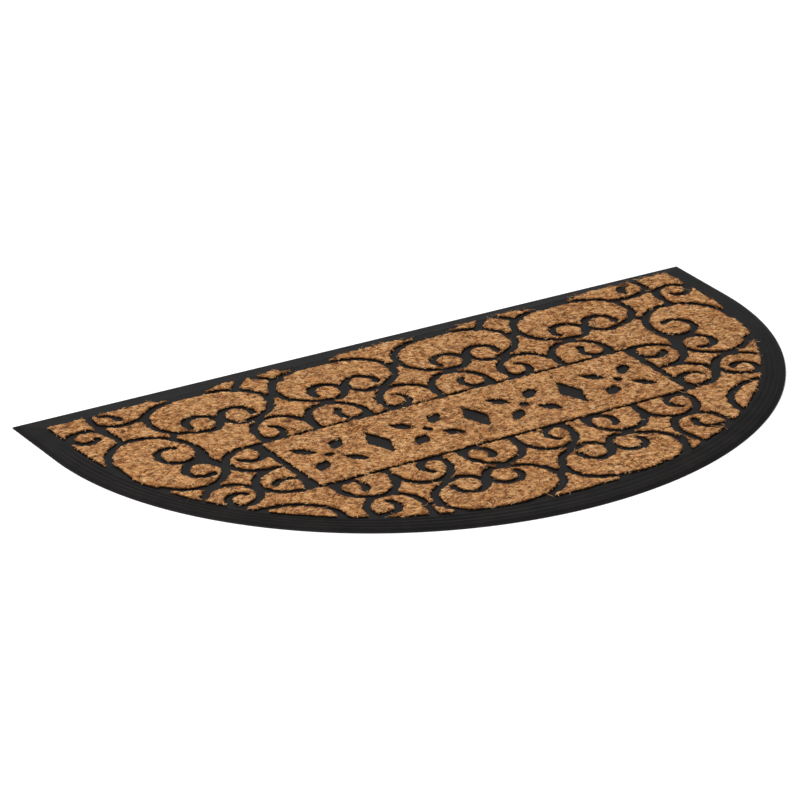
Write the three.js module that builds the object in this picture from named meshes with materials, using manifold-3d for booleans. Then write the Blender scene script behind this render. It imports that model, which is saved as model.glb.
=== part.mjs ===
// Half-round doormat: a moulded rubber tray with a raised border, and needled coir pile set in its field.
// Millimetres, +Z up. The origin is on the floor under the middle of the mat.
// The straight back edge is at +Y.
import * as THREE from "three";
import { mergeVertices } from "three/addons/utils/BufferGeometryUtils.js";
import Module from "manifold-3d";

const wasm = await Module();
wasm.setup();

// Driving dimensions of the whole mat.
const MAT_WIDTH = 700;
const MAT_DEPTH = 400;
const STRAIGHT_SIDE = 80; // length of the side edges before they turn into the round front

// The border of the tray, from its outer edge inwards.
const BACK_BORDER = 23;
const SIDE_BORDER = 22.5;
const FRONT_BORDER = 24.5;
const FIELD_SWELL = 3.5; // how far the field bulges out between the front and the sides
const FIELD_TURN = THREE.MathUtils.degToRad(0.7); // how far the field is turned against the outline
const EDGE_HEIGHT = 1.4;
const BEVEL_WIDTH = 5;
const BEVEL_HEIGHT = 3.2;
const BORDER_HEIGHT = 5.4;
const INNER_SLOPE = 1.5;

// Heights in the field: the rubber floor that shows as the black lines, and the coir that stands on it.
const FLOOR_HEIGHT = 5.2;
const SEAT_GAP = 0.3;
const COIR_TOP = 7.2;
const COIR_TO_BORDER = 0.6;
const BACKING = 0.6; // thickness of the backing that is left where only the pile is trimmed away

// The repeat of the ornament. Cells of MODULE width are mirrored side by side, above and below the panel.
const MODULE = 64;
const AXIS_Y = -2; // the line across the mat that the two halves of the ornament mirror about
const LINE = 8.4; // width of a rubber line between two pieces of coir
const TIE_LINE = 4; // width of the short tie that closes the gap between two large scrolls

// How finely curves are divided.
const CHORD_ERROR = 0.3; // how far a straight facet may stand off its curve
const TRAY_FACETS = 72;
const COIR_FACETS = 74;
const PETAL_STEPS = 4; // points along each side of a petal

// The panel in the middle: its frame lines, and the row of flowers and lozenges cut through its pile.
const PANEL_HALF_WIDTH = 188;
const PANEL_HALF_HEIGHT = 48.7;
const FLOWER_REACH = 0.96; // how near a petal's tip comes to the corner of its square
const CUT_ABOVE = 5; // how far the cutting shapes reach over the pile
const PANEL_LINE = 5.2;
const PANEL_END_LINE = 8.5;
const MOTIF_SPACING = 50;
const MOTIF_HEIGHT = 54;
const PETAL_WIDTH = 14;
const PETAL_START = 10;
const FLOWER_EYE = 5.5;
const LOZENGE_WIDTH = 23;

const COLOURS = { rubber: 0x1d1d1e, coir: 0xb98a55 };

// ---- outlines -------------------------------------------------------------------------------------------

// A half-round outline: a straight back edge, short straight sides and half of an ellipse at the front.
// The swell pushes the ellipse out between its middle and its ends, where the border is narrower.
function halfRound(backInset, sideInset, frontInset, facets, swell = 0) {
  const halfWidth = MAT_WIDTH / 2 - sideInset;
  const backY = MAT_DEPTH / 2 - backInset;
  const turnY = MAT_DEPTH / 2 - STRAIGHT_SIDE;
  const drop = MAT_DEPTH - STRAIGHT_SIDE - frontInset;
  const points = [new THREE.Vector2(halfWidth, backY), new THREE.Vector2(-halfWidth, backY)];
  for (let i = 0; i <= facets; i += 1) {
    const angle = Math.PI + (Math.PI * i) / facets;
    const out = swell * Math.sin(2 * angle) ** 2;
    const x = (halfWidth + out) * Math.cos(angle);
    points.push(new THREE.Vector2(x, turnY + (drop + out) * Math.sin(angle)));
  }
  return points;
}

// ---- solids ---------------------------------------------------------------------------------------------

function solidFromGeometry(geometry) {
  geometry.deleteAttribute("normal");
  geometry.deleteAttribute("uv");
  const merged = mergeVertices(geometry, 1e-4);
  return new wasm.Manifold(new wasm.Mesh({
    numProp: 3,
    vertProperties: new Float32Array(merged.attributes.position.array),
    triVerts: new Uint32Array(merged.index.array),
  }));
}

function geometryFromSolid(solid) {
  const mesh = solid.getMesh();
  const geometry = new THREE.BufferGeometry();
  geometry.setAttribute("position", new THREE.BufferAttribute(new Float32Array(mesh.vertProperties), 3));
  geometry.setIndex(new THREE.BufferAttribute(new Uint32Array(mesh.triVerts), 1));
  geometry.computeVertexNormals();
  return geometry;
}

function prism(points, bottom, top) {
  const shape = new THREE.Shape(points);
  const geometry = new THREE.ExtrudeGeometry(shape, { depth: top - bottom, bevelEnabled: false });
  geometry.translate(0, 0, bottom);
  return solidFromGeometry(geometry);
}

// A closed body through stacked outlines that all have the same number of points.
function loft(rings) {
  const count = rings[0].points.length;
  const positions = [];
  const triangles = [];
  for (const ring of rings) {
    for (const point of ring.points) positions.push(point.x, point.y, ring.z);
  }
  for (let r = 0; r + 1 < rings.length; r += 1) {
    for (let i = 0; i < count; i += 1) {
      const next = (i + 1) % count;
      const a = r * count + i;
      const b = r * count + next;
      triangles.push(a, b, b + count, a, b + count, a + count);
    }
  }
  const last = (rings.length - 1) * count;
  for (const [a, b, c] of THREE.ShapeUtils.triangulateShape(rings[0].points, [])) triangles.push(c, b, a);
  for (const [a, b, c] of THREE.ShapeUtils.triangulateShape(rings[rings.length - 1].points, [])) {
    triangles.push(last + a, last + b, last + c);
  }
  const geometry = new THREE.BufferGeometry();
  geometry.setAttribute("position", new THREE.BufferAttribute(new Float32Array(positions), 3));
  geometry.setIndex(triangles);
  geometry.computeVertexNormals();
  return geometry;
}

// ---- rubber lines ---------------------------------------------------------------------------------------

// The outline of a line of even width with round ends along a row of centre points.
function ribbon(centre, width) {
  const left = [];
  const right = [];
  const count = centre.length;
  for (let i = 0; i < count; i += 1) {
    const ahead = centre[Math.min(i + 1, count - 1)];
    const behind = centre[Math.max(i - 1, 0)];
    const along = ahead.clone().sub(behind).normalize();
    const across = new THREE.Vector2(-along.y, along.x).multiplyScalar(width / 2);
    left.push(centre[i].clone().add(across));
    right.push(centre[i].clone().sub(across));
    if (i === count - 1) left.push(centre[i].clone().add(along.multiplyScalar(width / 2)));
    if (i === 0) right.unshift(centre[i].clone().sub(along.multiplyScalar(width / 2)));
  }
  return [...left, ...right.reverse()];
}

// Points along part of an oval that closes in as it turns, which makes it a scroll. Angles are in degrees.
// bulge is 2 for an ellipse, and more for one with squarer shoulders.
function scroll({ x, y, rx, ry = rx, from, to, close = 1, bulge = 2 }) {
  const turn = THREE.MathUtils.degToRad(to - from);
  const radius = ((rx + ry) / 2) * ((1 + close) / 2);
  const facet = 2 * Math.acos(1 - CHORD_ERROR / radius);
  const steps = Math.max(2, Math.round(Math.abs(turn) / facet));
  const points = [];
  for (let i = 0; i <= steps; i += 1) {
    const t = i / steps;
    const angle = THREE.MathUtils.degToRad(from) + turn * t;
    const size = 1 + (close - 1) * t;
    const cos = Math.cos(angle);
    const sin = Math.sin(angle);
    const px = Math.sign(cos) * Math.abs(cos) ** (2 / bulge);
    const py = Math.sign(sin) * Math.abs(sin) ** (2 / bulge);
    points.push(new THREE.Vector2(x + rx * size * px, y + ry * size * py));
  }
  return points;
}

function bar(x0, y0, x1, y1) {
  return [new THREE.Vector2(x0, y0), new THREE.Vector2(x1, y1)];
}

// The ornament inside one cell. u runs from the mirror line between two large scrolls to the middle of one,
// and v runs outwards from the mirror line of the panel.
const LARGE_SCROLL = [
  scroll({ x: 64, y: 134, rx: 58.5, ry: 37, from: 90, to: 256, bulge: 2.3 }),
  scroll({ x: 45, y: 115, rx: 18.2, from: -92, to: 205, close: 0.7 }),
];
const LARGE_SCROLL_TIE = [bar(0, 128, 0, 140)];
const SMALL_SCROLL = [
  [...bar(0.5, 54, 0.5, 62), ...scroll({ x: 27.5, y: 64, rx: 27, ry: 30.3, from: 180, to: -25 })],
  scroll({ x: 42.5, y: 67, rx: 12.2, from: -20, to: -236, close: 1.1 }),
];
const BACK_BRACE = [bar(0, 184, 24, 159)];
const CROWN_TRIM = [bar(36, 178, 64, 178)];

// Where the cells stand: the number of the cell out from the middle, and on which side of the panel.
const CELL_ROWS = [
  { lines: LARGE_SCROLL, width: LINE, half: 1, cells: [0, 1, 2, 3] },
  { lines: LARGE_SCROLL, width: LINE, half: -1, cells: [0, 1] },
  { lines: LARGE_SCROLL_TIE, width: TIE_LINE, half: 1, cells: [0, 1] },
  { lines: LARGE_SCROLL_TIE, width: TIE_LINE, half: -1, cells: [0, 1] },
  { lines: SMALL_SCROLL, width: LINE, half: 1, cells: [0, 1, 2] },
  { lines: SMALL_SCROLL, width: LINE, half: -1, cells: [0, 1, 2] },
  { lines: BACK_BRACE, width: LINE, half: 1, cells: [1, 2] },
];

// Where the pile is trimmed down to its backing over the crowns of the back row. A trim parts the pile, but
// the backing runs on under it, so the two sides stay one piece.
const CELL_TRIMS = [
  { lines: CROWN_TRIM, width: LINE, half: 1, cells: [0, 1, 2, 3] },
];

// The lines of the two ends of the field, for the right end; the left end mirrors them.
const END_LINES = [
  // The large upright scroll: its crown, its upper eye, its lower eye and its foot.
  scroll({ x: 280, y: 69, rx: 41, ry: 45, from: 0, to: 218 }),
  scroll({ x: 262, y: 69, rx: 22, from: 180, to: 478, close: 0.6 }),
  scroll({ x: 259, y: 28, rx: 19, from: 180, to: -125, close: 0.58 }),
  scroll({ x: 274, y: 31, rx: 35, ry: 33.5, from: 150, to: 335 }),
  bar(242, 48, 256, 47),
  // The pair of small scrolls beside the panel.
  scroll({ x: 205, y: 24, rx: 30, ry: 25, from: -100, to: 115 }),
  scroll({ x: 210, y: 35, rx: 15, from: 180, to: 335, close: 0.85 }),
  scroll({ x: 205, y: -26, rx: 30, ry: 25, from: -115, to: 100 }),
  scroll({ x: 210, y: -37, rx: 15, from: 180, to: 25, close: 0.85 }),
  bar(197, 38, 197, 44),
  bar(197, -40, 197, -46),
  // The small scroll under the upright one.
  scroll({ x: 264, y: -30.5, rx: 24.5, ry: 22.5, from: 25, to: 330 }),
  scroll({ x: 260, y: -40, rx: 13, from: -50, to: 140, close: 0.85 }),
  // The curl at the back, between the second large scroll and the corner.
  scroll({ x: 279, y: 160, rx: 12.5, from: 85, to: 196 }),
  [...bar(287, 181, 291, 162), ...bar(290, 142, 288.5, 125), new THREE.Vector2(289, 115)],
  scroll({ x: 265, y: 169, rx: 30, ry: 23, from: 220, to: 325 }),
  // The curl against the side border.
  scroll({ x: 309, y: 133, rx: 19, ry: 19, from: 180, to: 50 }),
  scroll({ x: 312, y: 139, rx: 11.5, from: 0, to: -150 }),
  // The tailed scroll against the round front, and the long leaf beside it.
  scroll({ x: 157.5, y: -121, rx: 25, ry: 25.5, from: -10, to: 190 }),
  bar(133, -127, 139, -155),
  bar(182.5, -118, 182.5, -138),
  scroll({ x: 167, y: -115, rx: 16, from: -55, to: -215, close: 0.72 }),
  scroll({ x: 254, y: -108.5, rx: 50, ry: 42, from: 76, to: 193 }),
];

// Trims at the ends of the field: between the star and the body under it, and beside the corner.
const END_TRIMS = [
  bar(319.8, 76, 320.2, 47),
  bar(241.2, 106.2, 247.8, 98.8),
  bar(316, 149.5, 331, 140),
];

// The lines that frame the panel.
const FRAME_X = PANEL_HALF_WIDTH + PANEL_END_LINE / 2;
const FRAME_Y = PANEL_HALF_HEIGHT + PANEL_LINE / 2;
const FRAME_LINES = [
  { points: bar(-FRAME_X, AXIS_Y + FRAME_Y, FRAME_X, AXIS_Y + FRAME_Y), width: PANEL_LINE },
  { points: bar(-FRAME_X, AXIS_Y - FRAME_Y, FRAME_X, AXIS_Y - FRAME_Y), width: PANEL_LINE },
  { points: bar(FRAME_X, AXIS_Y - FRAME_Y, FRAME_X, AXIS_Y + FRAME_Y), width: PANEL_END_LINE },
  { points: bar(-FRAME_X, AXIS_Y - FRAME_Y, -FRAME_X, AXIS_Y + FRAME_Y), width: PANEL_END_LINE },
];

// Carries a point of a cell to the mat: odd cells are mirrored, so that the cells join.
function placeInCell(point, cell, half, side) {
  const across = cell % 2 === 0 ? cell * MODULE + point.x : (cell + 1) * MODULE - point.x;
  return new THREE.Vector2(side * across, AXIS_Y + half * point.y);
}

function lineSolid(points, width, bottom) {
  const outline = ribbon(points, width);
  if (THREE.ShapeUtils.isClockWise(outline)) outline.reverse();
  return prism(outline, bottom, COIR_TOP + CUT_ABOVE);
}

// The lines of some rows of cells and of the two ends, on both sides, cut down to the given height.
function mirroredLines(rows, ends, bottom) {
  const solids = [];
  for (const side of [1, -1]) {
    for (const row of rows) {
      for (const cell of row.cells) {
        for (const line of row.lines) {
          const placed = line.map((p) => placeInCell(p, cell, row.half, side));
          solids.push(lineSolid(placed, row.width, bottom));
        }
      }
    }
    for (const line of ends) {
      const placed = line.map((p) => new THREE.Vector2(side * p.x, p.y));
      solids.push(lineSolid(placed, LINE, bottom));
    }
  }
  return solids;
}

function allCuts() {
  const backingTop = FLOOR_HEIGHT + SEAT_GAP + BACKING;
  return [
    ...mirroredLines(CELL_ROWS, END_LINES, 0),
    ...mirroredLines(CELL_TRIMS, END_TRIMS, backingTop),
    ...FRAME_LINES.map((line) => lineSolid(line.points, line.width, 0)),
  ];
}

// ---- the panel's ornaments ------------------------------------------------------------------------------

// A pointed petal between two distances from the middle of its flower, turned to an angle in degrees.
function petal(x, start, end, width, turn) {
  const outline = [];
  for (const side of [1, -1]) {
    for (let i = 0; i < PETAL_STEPS; i += 1) {
      const t = side > 0 ? i / PETAL_STEPS : 1 - i / PETAL_STEPS;
      const along = start + (end - start) * t;
      const across = (side * width * Math.sin(Math.PI * t)) / 2;
      outline.push(new THREE.Vector2(along, -across).rotateAround(new THREE.Vector2(), turn));
    }
  }
  return outline.map((p) => new THREE.Vector2(p.x + x, p.y + AXIS_Y));
}

function panelMotifs() {
  const outlines = [];
  for (let place = -3; place <= 3; place += 1) {
    const x = place * MOTIF_SPACING;
    if (place % 2 === 0) {
      outlines.push([
        new THREE.Vector2(x + LOZENGE_WIDTH / 2, AXIS_Y),
        new THREE.Vector2(x, AXIS_Y + MOTIF_HEIGHT / 2),
        new THREE.Vector2(x - LOZENGE_WIDTH / 2, AXIS_Y),
        new THREE.Vector2(x, AXIS_Y - MOTIF_HEIGHT / 2),
      ]);
    } else {
      const reach = (MOTIF_HEIGHT / 2) * Math.SQRT2 * FLOWER_REACH;
      for (let corner = 0; corner < 4; corner += 1) {
        const turn = Math.PI / 4 + (corner * Math.PI) / 2;
        outlines.push(petal(x, PETAL_START, reach, PETAL_WIDTH, turn));
      }
      outlines.push(scroll({ x, y: AXIS_Y, rx: FLOWER_EYE, from: 0, to: 320 }));
    }
  }
  return outlines.map((outline) => prism(outline, 0, COIR_TOP + CUT_ABOVE));
}

// ---- the two kinds of piece -----------------------------------------------------------------------------

function rubberTray() {
  const ring = (inset, z) => ({ points: halfRound(inset, inset, inset, TRAY_FACETS), z });
  const middle = new THREE.Vector2(0, 0);
  const inner = (extra, z) => ({
    points: halfRound(
      BACK_BORDER + extra,
      SIDE_BORDER + extra,
      FRONT_BORDER + extra,
      TRAY_FACETS,
      FIELD_SWELL,
    ).map((point) => point.rotateAround(middle, FIELD_TURN)),
    z,
  });
  return loft([
    ring(0, 0),
    ring(0, EDGE_HEIGHT),
    ring(BEVEL_WIDTH, BEVEL_HEIGHT),
    inner(-INNER_SLOPE, BORDER_HEIGHT),
    inner(0, FLOOR_HEIGHT),
  ]);
}

function coirPieces() {
  const blank = prism(
    halfRound(
      BACK_BORDER + COIR_TO_BORDER,
      SIDE_BORDER + COIR_TO_BORDER,
      FRONT_BORDER + COIR_TO_BORDER,
      COIR_FACETS,
      FIELD_SWELL,
    ),
    FLOOR_HEIGHT + SEAT_GAP,
    COIR_TOP,
  );
  const cut = wasm.Manifold.union([...allCuts(), ...panelMotifs()]);
  const pieces = blank.subtract(cut).decompose().map((solid) => {
    const box = solid.boundingBox();
    return { solid, x: (box.min[0] + box.max[0]) / 2, y: (box.min[1] + box.max[1]) / 2 };
  });
  return pieces.sort((a, b) => Math.round(b.y - a.y) || Math.abs(a.x) - Math.abs(b.x));
}

const mat = new THREE.Group();

const rubber = new THREE.MeshStandardMaterial({ color: COLOURS.rubber, roughness: 0.55, metalness: 0 });
const coir = new THREE.MeshStandardMaterial({ color: COLOURS.coir, roughness: 0.95, metalness: 0 });

const tray = new THREE.Mesh(rubberTray(), rubber);
tray.name = "rubber_tray";
mat.add(tray);

// The field is pressed in a little turned against the outline, and all its pile turns with it.
const field = new THREE.Group();
field.rotation.z = FIELD_TURN;
mat.add(field);

// Each piece of pile is named by the side it is on and its place there, from the back edge to the front.
const counts = { left: 0, middle: 0, right: 0 };
for (const { solid, x } of coirPieces()) {
  const side = Math.abs(x) < 1 ? "middle" : x < 0 ? "left" : "right";
  counts[side] += 1;
  const mesh = new THREE.Mesh(geometryFromSolid(solid), coir);
  mesh.name = `coir_${side}_${String(counts[side]).padStart(2, "0")}`;
  field.add(mesh);
}

export default mat;
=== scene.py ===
# %% [markdown]
# # A half-round rubber and coir doormat
#
# The real mat is made in two steps. A heavy rubber tray is moulded first, with a raised border and a flat
# field. Coir, which is coconut fibre, is then needled and glued into the field. The rubber between the
# pieces of pile shows as the black scrolls. This script keeps to that order: tray, pile, loose fibres.
#
# Another way would be one flat sheet with a picture of scrolls on it. The pieces stand two millimetres
# proud of the rubber, though, and their ragged walls are what makes the mat look real, so each is a solid.

import math

import bpy
import numpy as np
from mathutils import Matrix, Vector, kdtree
from mathutils.geometry import delaunay_2d_cdt


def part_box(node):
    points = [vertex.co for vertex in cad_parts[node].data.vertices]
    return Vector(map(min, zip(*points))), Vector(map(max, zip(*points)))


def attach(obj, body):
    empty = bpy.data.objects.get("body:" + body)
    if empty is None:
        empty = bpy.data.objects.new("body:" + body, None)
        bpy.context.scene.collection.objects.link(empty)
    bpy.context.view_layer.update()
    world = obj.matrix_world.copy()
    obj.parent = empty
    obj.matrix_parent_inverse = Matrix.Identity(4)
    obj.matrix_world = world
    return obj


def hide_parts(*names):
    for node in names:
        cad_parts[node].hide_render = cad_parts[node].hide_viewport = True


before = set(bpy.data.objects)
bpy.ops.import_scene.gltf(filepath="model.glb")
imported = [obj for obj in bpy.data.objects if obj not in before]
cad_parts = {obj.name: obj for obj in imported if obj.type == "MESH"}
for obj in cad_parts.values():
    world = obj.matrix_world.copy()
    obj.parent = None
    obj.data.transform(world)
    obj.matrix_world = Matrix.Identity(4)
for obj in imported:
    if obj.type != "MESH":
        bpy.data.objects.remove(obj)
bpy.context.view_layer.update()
scene = bpy.context.scene

# %% [markdown]
# ## The sizes that the pieces share
#
# All shapes below are worked out in millimetres, the way a maker measures a mat, and become metres when a
# mesh is made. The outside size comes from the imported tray. The widths across its border are repeated here,
# because a mesh doesn't say which of its edges is the border.

# %% Sizes in millimetres
MM = 0.001
tray_low, tray_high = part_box("rubber_tray")
MAT_WIDTH = (tray_high.x - tray_low.x) / MM
MAT_DEPTH = (tray_high.y - tray_low.y) / MM
STRAIGHT_SIDE = 80  # length of each side edge before the round front starts
BORDERS = (23, 22.5, 24.5)  # width of the border at the back, the sides and the front
FIELD_SWELL = 3.5  # how far the field bulges out between the front and the sides
FIELD_TURN = math.radians(0.7)  # how far the field is turned against the outline
FLOOR_HEIGHT = 5.2  # the rubber between the pieces of pile
pile_nodes = {name: node for name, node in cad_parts.items() if name.startswith("coir_")}
PILE_TOP = max(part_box(name)[1].z for name in pile_nodes) / MM
print(f"mat {MAT_WIDTH:.0f} x {MAT_DEPTH:.0f} mm, pile to {PILE_TOP:.1f} mm in {len(pile_nodes)} pieces")

# %% [markdown]
# ## Camera
#
# A long lens from far away keeps the two ends of the mat nearly the same scale. The camera is aimed by a
# direction and a distance from a point on the floor, which is easier to adjust than an object rotated by
# hand.

# %% The camera
AZIMUTH = math.radians(-31.635)
ELEVATION = math.radians(23.916)
DISTANCE = 4.54
target = Vector((-0.0305, 0.0755, 0))
towards_camera = Vector((
    math.sin(AZIMUTH) * math.cos(ELEVATION),
    -math.cos(AZIMUTH) * math.cos(ELEVATION),
    math.sin(ELEVATION),
))
camera = bpy.data.objects.new("camera", bpy.data.cameras.new("camera"))
camera.data.lens = 231.84
camera.data.clip_end = 200
camera.location = target + towards_camera * DISTANCE
camera.rotation_euler = (-towards_camera).to_track_quat("-Z", "Y").to_euler()
scene.collection.objects.link(camera)
scene.camera = camera
print("camera at", [round(c, 3) for c in camera.location])

# %% [markdown]
# ## Soft studio light
#
# A pale room gives most of the light. One large panel stands to the left of the camera and a weaker one
# behind the mat, so that the walls of the pile and the ribs of the border are shaded on one side. Small
# lamps would cut hard shadows into the black lines, so the panels are wide.

# %% Room and light panels
ROOM_LIGHT = 0.62
scene.view_settings.view_transform = "Standard"
world = bpy.data.worlds.new("pale_room")
scene.world = world
world.use_nodes = True
world.node_tree.nodes["Background"].inputs["Color"].default_value = (1.0, 1.0, 1.0, 1.0)
world.node_tree.nodes["Background"].inputs["Strength"].default_value = ROOM_LIGHT


def light_panel(name, place, width, power):
    """A square panel of light that faces the middle of the mat."""
    panel = bpy.data.objects.new(name, bpy.data.lights.new(name, "AREA"))
    panel.data.size = width
    panel.data.energy = power
    panel.location = place
    panel.rotation_euler = (-Vector(place)).to_track_quat("-Z", "Y").to_euler()
    scene.collection.objects.link(panel)


light_panel("key_panel", (-3.0, -1.2, 2.7), 1.8, 185)
light_panel("back_panel", (1.2, 2.6, 2.6), 2.4, 60)
print("room light", ROOM_LIGHT, "and two panels")

# %% [markdown]
# ## Helpers for materials
#
# Every finish here is procedural: noise is shaped by a few nodes, and no image texture is used. `add` makes
# one node and feeds its sockets, from a number or from another node, so a material reads like a recipe.
# `new_group` starts a group with named sockets, for an effect that several materials share. Noise mostly
# lies between 0.3 and 0.7, so `spread` stretches that range to the one a finish needs. `sum_of` adds two
# masks.

# %% Node helpers
def add(tree, kind, sockets=None, **settings):
    """Adds a shader node. A socket gets a value, or a link if it is given another node's output."""
    made = tree.nodes.new("ShaderNode" + kind)
    for name, value in settings.items():
        setattr(made, name, value)
    for name, value in (sockets or {}).items():
        if isinstance(value, bpy.types.NodeSocket):
            tree.links.new(value, made.inputs[name])
        else:
            made.inputs[name].default_value = value
    return made


def new_group(name, inputs, outputs):
    """Starts a node group. inputs is {name: (kind, value)} and outputs is {name: kind}."""
    group = bpy.data.node_groups.new(name, "ShaderNodeTree")
    for label, (kind, value) in inputs.items():
        socket = group.interface.new_socket(label, in_out="INPUT", socket_type="NodeSocket" + kind)
        socket.default_value = value
    for label, kind in outputs.items():
        group.interface.new_socket(label, in_out="OUTPUT", socket_type="NodeSocket" + kind)
    return group, group.nodes.new("NodeGroupInput"), group.nodes.new("NodeGroupOutput")


def use_group(tree, group, sockets):
    """Places a node group in a material and feeds its sockets."""
    made = add(tree, "Group", node_tree=group)
    for name, value in sockets.items():
        if isinstance(value, bpy.types.NodeSocket):
            tree.links.new(value, made.inputs[name])
        else:
            made.inputs[name].default_value = value
    return made


def new_material(name):
    """A material with its Principled shader, ready to be fed."""
    material = bpy.data.materials.new(name)
    material.use_nodes = True
    return material, material.node_tree, material.node_tree.nodes["Principled BSDF"]


def spread(tree, noise, low=0.0, high=1.0):
    """Stretches a noise to the range from low to high."""
    stretch = {"Value": noise, "From Min": 0.3, "From Max": 0.7, "To Min": low, "To Max": high}
    return add(tree, "MapRange", stretch).outputs[0]


def sum_of(tree, first, second):
    """The sum of two outputs, kept between 0 and 1."""
    return add(tree, "Math", {0: first, 1: second}, operation="ADD", use_clamp=True).outputs[0]


print("node helpers ready")

# %% [markdown]
# ## Shared effect: grain
#
# Moulded rubber and a painted floor are never quite smooth. The grain is two sizes of noise added together.
# It puts out a height for a Bump node, and a mask that breaks up the gloss.

# %% Grain group
grain, inside, out = new_group(
    "Fine grain",
    {"Size": ("Float", 0.001), "Unevenness": ("Float", 0.5)},
    {"Height": "Float", "Mask": "Float"},
)
place = add(grain, "TexCoord").outputs["Object"]
per_metre = add(grain, "Math", {0: 1.0, 1: inside.outputs["Size"]}, operation="DIVIDE")
fine = add(grain, "TexNoise", {"Vector": place, "Scale": per_metre.outputs[0], "Detail": 3.0})
wide_scale = add(grain, "Math", {0: per_metre.outputs[0], 1: 0.04}, operation="MULTIPLY")
wide = add(grain, "TexNoise", {"Vector": place, "Scale": wide_scale.outputs[0], "Detail": 2.0})
unevenness = inside.outputs["Unevenness"]
wide_part = add(grain, "Math", {0: wide.outputs["Fac"], 1: unevenness}, operation="MULTIPLY")
height = add(grain, "Math", {0: fine.outputs["Fac"], 1: wide_part.outputs[0]}, operation="ADD")
grain.links.new(height.outputs[0], out.inputs["Height"])
grain.links.new(wide.outputs["Fac"], out.inputs["Mask"])
print("group:", grain.name)

# %% [markdown]
# ## Shared effect: dust
#
# A doormat collects pale dust, and coir sheds on the rubber. Dust lies in patches, it is thin, and it
# settles where a surface faces up. The mask multiplies a wide noise, a fine noise and the upward part of
# the normal.

# %% Dust group
dust, inside, out = new_group(
    "Settled dust",
    {
        "Colour": ("Color", (0.5, 0.5, 0.5, 1.0)),
        "Dust Colour": ("Color", (0.12, 0.10, 0.085, 1.0)),
        "Amount": ("Float", 0.3),
        "Patch Size": ("Float", 0.03),
    },
    {"Colour": "Color", "Mask": "Float"},
)
place = add(dust, "TexCoord").outputs["Object"]
patch_scale = add(dust, "Math", {0: 1.0, 1: inside.outputs["Patch Size"]}, operation="DIVIDE")
patches = add(dust, "TexNoise", {"Vector": place, "Scale": patch_scale.outputs[0], "Detail": 3.0})
patch_mask = add(dust, "MapRange", {"Value": patches.outputs["Fac"], "From Min": 0.42, "From Max": 0.72})
specks = add(dust, "TexNoise", {"Vector": place, "Scale": 900.0, "Detail": 2.0})
speck_mask = add(dust, "MapRange", {"Value": specks.outputs["Fac"], "From Min": 0.45, "From Max": 0.7})
both = add(dust, "Math", {0: patch_mask.outputs[0], 1: speck_mask.outputs[0]}, operation="MULTIPLY")
facing = add(dust, "SeparateXYZ", {0: add(dust, "NewGeometry").outputs["Normal"]})
times = {"operation": "MULTIPLY", "use_clamp": True}
upward = add(dust, "Math", {0: both.outputs[0], 1: facing.outputs["Z"]}, **times)
amount = add(dust, "Math", {0: upward.outputs[0], 1: inside.outputs["Amount"]}, **times)
mixed = add(
    dust,
    "MixRGB",
    {"Fac": amount.outputs[0], "Color1": inside.outputs["Colour"], "Color2": inside.outputs["Dust Colour"]},
)
dust.links.new(mixed.outputs[0], out.inputs["Colour"])
dust.links.new(amount.outputs[0], out.inputs["Mask"])
print("group:", dust.name)

# %% [markdown]
# ## Shared effect: strands
#
# Needled coir looks combed: thin light and dark strands lie side by side and swirl a little. Noise that is
# stretched along one direction gives strands, and a second noise bends its coordinates so that they swirl.
# The pile and the single fibres both use it, so their colours belong together.

# %% Strand group
strands, inside, out = new_group(
    "Coir strands",
    {
        "Strand Width": ("Float", 0.0006),
        "Strand Length": ("Float", 0.006),
        "Lay": ("Float", 0.5),
        "Swirl": ("Float", 0.003),
    },
    {"Strand": "Float", "Clump": "Float"},
)
place = add(strands, "TexCoord").outputs["Object"]
bend = add(strands, "TexNoise", {"Vector": place, "Scale": 90.0, "Detail": 1.0})
centred = add(strands, "VectorMath", {0: bend.outputs["Color"], 1: (0.5, 0.5, 0.5)}, operation="SUBTRACT")
swirl_size = inside.outputs["Swirl"]
swirl = add(strands, "VectorMath", {0: centred.outputs[0], "Scale": swirl_size}, operation="SCALE")
bent = add(strands, "VectorMath", {0: place, 1: swirl.outputs[0]}, operation="ADD")
turn = add(strands, "Math", {0: inside.outputs["Lay"], 1: -1.0}, operation="MULTIPLY")
turned = add(
    strands, "VectorRotate", {"Vector": bent.outputs[0], "Angle": turn.outputs[0]}, rotation_type="Z_AXIS"
)
length, width = inside.outputs["Strand Length"], inside.outputs["Strand Width"]
size = add(strands, "CombineXYZ", {"X": length, "Y": width, "Z": width})
stretched = add(strands, "VectorMath", {0: turned.outputs[0], 1: size.outputs[0]}, operation="DIVIDE")
rough = {"Detail": 3.0, "Roughness": 0.6}
strand = add(strands, "TexNoise", {"Vector": stretched.outputs[0], "Scale": 1.0, **rough})
clump = add(strands, "TexNoise", {"Vector": bent.outputs[0], "Scale": 160.0, **rough})
strands.links.new(strand.outputs["Fac"], out.inputs["Strand"])
strands.links.new(clump.outputs["Fac"], out.inputs["Clump"])
print("group:", strands.name)

# %% [markdown]
# ## Shared effect: coir colour
#
# Coir runs from pale straw to dark brown, with some reddish fibres. One number, the tone, is looked up on
# a colour ramp. The ramp is in a group so that the pile and the fibres can't drift apart.

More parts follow.
